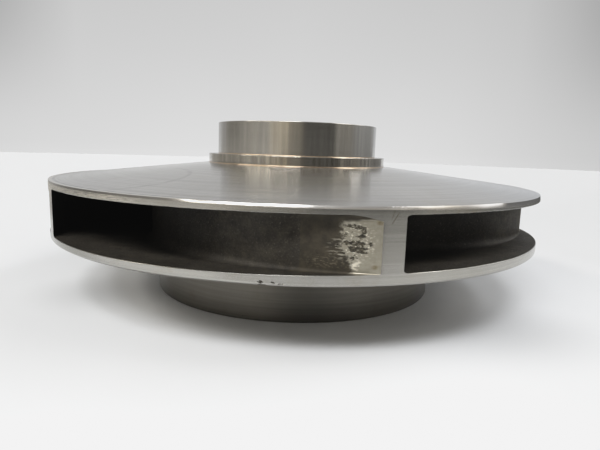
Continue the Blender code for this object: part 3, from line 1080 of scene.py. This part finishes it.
# The backdrop as the camera sees it: level by elevation, and how much darker its two sides are, low down and
# high up, by azimuth from straight behind the object
BACKDROP = [(-90, 0.77), (-1.5, 0.77), (0, 0.735), (4, 0.70), (10, 0.65), (16, 0.61)]
BACKDROP_LOW_SIDES = [
    (-180, 0.91), (-32, 0.91), (-28, 0.94), (-12, 1.0), (12, 0.99), (18, 0.96), (24, 0.90), (32, 0.81),
    (180, 0.81),
]
BACKDROP_HIGH_SIDES = [
    (-180, 0.62), (-32, 0.62), (-28, 0.80), (-24, 0.95), (0, 1.0), (18, 0.94), (24, 0.89), (28, 0.77),
    (32, 0.61), (180, 0.61),
]

# What shines on the object: tints, each with its (azimuth, level), at eye level and above it, and lamps
EYE_LEVEL = [
    (NEUTRAL, (-180, 0.70), (-170, 0.68), (-156, 0.55), (-140, 0.46)),
    (WARMISH, (-112, 0.215), (-95, 0.185), (-82, 0.27), (-62, 0.285), (-42, 0.305)),
    (WARM, (-33, 0.48), (-24, 0.60), (-15, 0.56), (-9, 0.29), (-2, 0.20), (6, 0.165)),
    (WARMISH, (12, 0.045), (51.5, 0.040), (57, 0.25), (69, 0.26), (80, 0.26)),
    (NEUTRAL, (92, 0.31), (106, 0.35), (122, 0.31), (134, 0.34)), (COOL, (148, 0.54)), (NEUTRAL, (180, 0.70)),
]
MID_LEVEL = [
    (NEUTRAL, (-180, 0.57), (-130, 0.60)),
    (WARMISH, (-112, 0.60), (-50, 0.53), (-30, 0.53), (0, 0.50), (12, 0.42), (46, 0.42), (58, 0.53)),
    (WARMISH, (96, 0.57)),
    (NEUTRAL, (120, 0.64), (180, 0.57)),
]
OVERHEAD = (0.12, 0.115, 0.11)
# (azimuth from, to, elevation from, to, level, tint)
LAMPS = [
    (-90, -42, 33, 40, 13.5, WARMISH), (-44, -18, 41, 50, 19.0, NEUTRAL), (-20, 7, 47, 57, 22.0, NEUTRAL),
    (8, 60, 47, 75, 0.55, NEUTRAL), (66, 90, 35, 45, 4.6, WARMISH), (92, 118, 21, 37, 3.2, NEUTRAL),
    (68, 125, 46, 55, 6.0, NEUTRAL),
]
LAMP_EDGE = 3.0
# Elevations between which the room changes from eye level to above, and from there to overhead
ABOVE_FROM = (8.0, 18.0)
OVERHEAD_FROM = (38.0, 48.0)


def round_the_room(turn, runs):
    """Colour by azimuth. A run is a tint and its stops (azimuth, level)."""
    stops = [((azimuth + 180) / 360, shaded(tint, level)) for tint, *run in runs for azimuth, level in run]
    return ramp(turn, stops)


def window(value, low, high):
    """One between low and high, and zero outside, with soft edges."""
    rise = span(value, low - LAMP_EDGE, low + LAMP_EDGE)
    return rise * fall(value, high - LAMP_EDGE, high + LAMP_EDGE)


def world():
    """A studio room: bright backdrop, dim room behind the viewer, and lamps higher up."""
    made = bpy.data.worlds.new("studio")
    bpy.context.scene.world = made
    made.use_nodes = True
    tree = made.node_tree
    east, north, height = axes(Value(tree, tree.nodes.new("ShaderNodeTexCoord").outputs["Generated"]))
    angle = turn_from_front(east, north)
    turn = affine(angle, 1.0 / math.tau, 0.5)
    azimuth = angle * (180.0 / math.pi)
    elevation = number("ARCSINE", height) * (180.0 / math.pi)
    colour = mixed(
        span(elevation, *ABOVE_FROM), round_the_room(turn, EYE_LEVEL), round_the_room(turn, MID_LEVEL)
    )
    colour = mixed(span(elevation, *OVERHEAD_FROM), colour, OVERHEAD)
    for start, end, foot, head, level, tint in LAMPS:
        share = window(azimuth, start, end) * window(elevation, foot, head)
        colour = mixed(share, colour, shaded(tint, level))
    behind = affine(number("ARCTAN2", east, north), 1.0 / math.tau, 0.5)
    low_sides, high_sides = (
        round_the_room(behind, [(NEUTRAL, *sides)]) for sides in (BACKDROP_LOW_SIDES, BACKDROP_HIGH_SIDES)
    )
    sides = mixed(span(elevation, 0.0, 16.0), low_sides, high_sides)
    levels = [((degrees + 90) / 180, (level,) * 3) for degrees, level in BACKDROP]
    backdrop = tinted(ramp(affine(elevation, 1.0 / 180.0, 0.5), levels), sides)
    seen = Value(tree, tree.nodes.new("ShaderNodeLightPath").outputs["Is Camera Ray"])
    feed(tree.nodes["Background"].inputs["Color"], mixed(seen, colour, backdrop))


def floor():
    """The white sheet that the object stands on, with painted shade and light on it."""
    bpy.ops.mesh.primitive_circle_add(vertices=96, radius=FLOOR_SIZE, fill_type="NGON")
    made = bpy.context.object
    made.name = "studio_floor"
    material, shader, at = shader_material("floor_paper")
    # Painted shade and light across the sheet, and painted shadows beside the object
    level = span(number("ABSOLUTE", at.x), *SHEET_SIDES) * span(at.y, *SHEET_DEPTH) * span(at.x, *SHEET_RIGHT)
    for centre, size, strength in SHEET_PAINTED_SHADOWS:
        level = level * affine(blot(at.x, at.y, centre, size, 1.0), -strength, 1.0)
    dress(shader, tinted(SHEET_COLOUR, level), 0.0, PAPER_ROUGHNESS)
    made.data.materials.append(material)


def table_colour(at):
    """Colour of the table by azimuth, which changes from TABLE_NEAR to TABLE_FAR with the distance."""
    turn = affine(turn_from_front(at.x, at.y), 1.0 / math.tau, 0.5)
    close, far = (
        ramp(turn, [((where + 180) / 360, tint) for where, tint in stops])
        for stops in (TABLE_NEAR, TABLE_FAR)
    )
    return mixed(span(at.radius, *TABLE_REACH), close, far)


def dark_table():
    """The dim table beyond the white sheet, in front and to the sides. Only reflections see it."""
    verts, faces = [], []
    for (start, near), (end, far) in zip(SHEET_EDGE, SHEET_EDGE[1:]):
        for step in range(TABLE_STEPS):
            share = step / (TABLE_STEPS - 1)
            angle = math.radians(start + (end - start) * share)
            for radius in (near + (far - near) * share, FLOOR_SIZE):
                verts.append((radius * math.sin(angle), -radius * math.cos(angle), TABLE_HIGH))
    for first in range(0, len(verts) - 2, 2):
        faces.append((first, first + 1, first + 3, first + 2))
    mesh = bpy.data.meshes.new("studio_table")
    mesh.from_pydata(verts, [], faces)
    material, shader, at = shader_material("table_top")
    dress(shader, table_colour(at), 0.0, PAPER_ROUGHNESS)
    mesh.materials.append(material)
    made = linked("studio_table", mesh)
    made.visible_camera = made.visible_diffuse = made.visible_shadow = made.visible_transmission = False


# Camera: eye point, and how far it looks down, right and leans, fitted to the photograph's ellipses
EYE_POINT = (0.0, -0.3607, 0.0987)
LOOK_DOWN = math.radians(9.06)
LOOK_RIGHT = math.radians(0.65)
LEAN = math.radians(1.86)
FOCAL_LENGTH = 28.8
SENSOR_WIDTH = 36.0


def camera():
    data = bpy.data.cameras.new("camera")
    data.lens = FOCAL_LENGTH
    data.sensor_width = SENSOR_WIDTH
    data.clip_start = 0.01
    made = linked("camera", data)
    turn = Matrix.Rotation(-LOOK_RIGHT, 4, "Z") @ Matrix.Rotation(math.radians(90.0) - LOOK_DOWN, 4, "X")
    made.matrix_world = Matrix.Translation(EYE_POINT) @ turn @ Matrix.Rotation(LEAN, 4, "Z")
    bpy.context.scene.camera = made


# Tones of the picture, linear in and out: blacks lift a little and highlights roll off before white
TONES = [(0.0, 0.0028), (0.35, 0.352), (0.72, 0.715), (0.88, 0.835), (1.0, 0.895)]


def tones():
    view = bpy.context.scene.view_settings
    view.view_transform = "Standard"
    view.use_curve_mapping = True
    view.curve_mapping.extend = "HORIZONTAL"
    curve = view.curve_mapping.curves[3]
    curve.points[0].location = TONES[0]
    curve.points[1].location = TONES[-1]
    for tone in TONES[1:-1]:
        curve.points.new(*tone)
    view.curve_mapping.update()


def main():
    boss = turned_steel(
        "boss", (0.625, 0.61, 0.575), 0.15, 0.95, 0.000003, chatter_share=0.85,
        contrast=(0.88, 1.08), patchy=0.3
    )
    step = turned_steel(
        "step", (0.50, 0.475, 0.43), 0.15, 0.95, 0.000005, 0.4, chatter_share=0.85,
        contrast=(0.68, 1.30), patchy=0.3
    )
    fillet = turned_steel("fillet", (0.56, 0.45, 0.34), 0.24, 0.60, 0.00001)
    edge = turned_steel("edge", (0.38, 0.369, 0.355), 0.24, 0.60, 0.00002, marks=bevel_painted_highlights)
    face = turned_steel("face", FACE_METAL, 0.16, 0.95, 0.000005)
    cone = turned_steel("cone", FACE_METAL, 0.16, 0.95, 0.000003, patchy=0.15, marks=cone_marks)
    rim, tip, wear_ring = (
        turned_steel(name, colour, roughness, anisotropy, 0.00002, 0.45, marks=marks)
        for name, colour, roughness, anisotropy, marks in (
            ("rim", (0.48, 0.47, 0.44), 0.24, 0.85, rim_scratches_skin_and_painted_shade),
            ("tip", (0.44, 0.43, 0.405), 0.24, 0.85, rim_scratches_skin_and_painted_shade),
            ("wear_ring", (0.16, 0.15, 0.13), 0.30, 0.75, ring_painted_shade_and_highlight),
        )
    )
    scale = cast_steel("cast_steel_scale")
    ground = ground_end("cast_steel_ground")
    pieces = [
        (sleeve([boss, scale]), "turned_steel", ["hub_sleeve"]),
        (collar([step, scale, fillet]), "turned_steel", ["hub_collar"]),
        (hub_core([face, scale]), "turned_steel", ["hub"]),
        (back_disc([rim, scale, cone, edge, step, fillet]), "turned_steel", ["back_shroud"]),
        (front_disc([rim, scale, wear_ring]), "turned_steel", ["front_shroud"]),
        (eye([wear_ring, scale]), "turned_steel", ["eye_ring"]),
    ]
    for count in range(1, VANE_COUNT + 1):
        pieces.append((vane(count, [tip, scale, ground]), "cast_steel", [f"vane_{count}"]))
    for piece, slot, nodes in pieces:
        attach(piece, "root")
        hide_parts(*nodes)
    floor()
    dark_table()
    world()
    camera()
    tones()


main()
